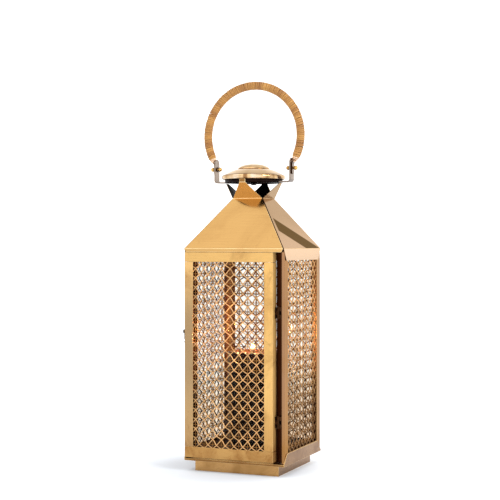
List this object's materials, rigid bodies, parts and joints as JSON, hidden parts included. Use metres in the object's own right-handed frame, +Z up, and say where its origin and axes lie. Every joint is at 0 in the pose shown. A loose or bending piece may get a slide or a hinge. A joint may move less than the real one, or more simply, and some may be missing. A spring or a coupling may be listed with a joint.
{
  "type": "hurricane candle lantern",
  "caption": "Square brass candle lantern with cane-weave lattice on four sides, a hinged front door, a petalled roof under a round cap and a swinging rattan-wrapped ring handle.",
  "frame": {"origin": "on the floor under the middle of the body", "axes": "+Z up, -Y out of the front door, +X towards the door's hinges"},
  "size_m": [0.2096, 0.203, 0.7436],
  "materials": {
    "brass": "warm antique brass, satin polished",
    "inner_brass": "dark antique brass, unpolished inside",
    "cane_brass": "pale polished brass lattice",
    "nickel": "pale satin nickel",
    "steel": "dark hardware",
    "rattan": "varnished split rattan, closely wound",
    "glass": "clear",
    "wax": "dark brown wax, softly glossy",
    "wick": "charred cotton"
  },
  "bodies": {
    "lantern_body": {"ball_nut_left": "brass", "ball_nut_right": "brass", "base_tray": "brass", "bottom_rail_back": "brass", "bottom_rail_left": "brass", "bottom_rail_right": "brass", "candle": "wax", "cap_bolt": "steel", "cap_crown": "brass", "cap_dome": "brass", "cap_drum": "inner_brass", "cap_nut": "steel", "front_header": "brass", "front_post_left": "brass", "front_post_right": "brass", "front_sill": "brass", "glass_back": "glass", "glass_left": "glass", "glass_right": "glass", "grille_back": "cane_brass", "grille_left": "cane_brass", "grille_right": "cane_brass", "handle_strap": "nickel", "hinge_lower_pin": "steel", "hinge_lower_post_leaf": "brass", "hinge_upper_pin": "steel", "hinge_upper_post_leaf": "brass", "keeper_stud": "steel", "pivot_pin_left": "brass", "pivot_pin_right": "brass", "plinth": "brass", "rear_post_left": "brass", "rear_post_right": "brass", "roof_panel_back": "brass", "roof_panel_front": "brass", "roof_panel_left": "brass", "roof_panel_right": "brass", "top_rail_back": "brass", "top_rail_left": "brass", "top_rail_right": "brass", "wick": "wick"},
    "door": {"door_rail_top": "brass", "door_rail_bottom": "brass", "door_stile_left": "brass", "door_stile_right": "brass", "door_grille": "cane_brass", "door_glass": "glass", "glass_clip_left_lower": "inner_brass", "glass_clip_left_upper": "inner_brass", "glass_clip_right_lower": "inner_brass", "glass_clip_right_upper": "inner_brass", "hinge_upper_door_leaf": "brass", "hinge_lower_door_leaf": "brass", "latch_screw": "steel"},
    "latch_hook": {"latch_hook": "brass"},
    "handle": {"handle_core": "nickel", "rattan_wrap": "rattan"}
  },
  "joints": [
    {"name": "door_hinge", "type": "hinge", "parent": "lantern_body", "child": "door", "pos_m": [0.0865, -0.09, 0.2], "axis": [0, 0, 1], "range_deg": [0, 105]},
    {"name": "latch_pivot", "type": "hinge", "parent": "door", "child": "latch_hook", "pos_m": [-0.101, -0.094, 0.264], "axis": [-1, 0, 0], "range_deg": [0, 270]},
    {"name": "handle_pivot", "type": "hinge", "parent": "lantern_body", "child": "handle", "pos_m": [0, 0, 0.575], "axis": [1, 0, 0], "range_deg": [-142, 142]}
  ]
}
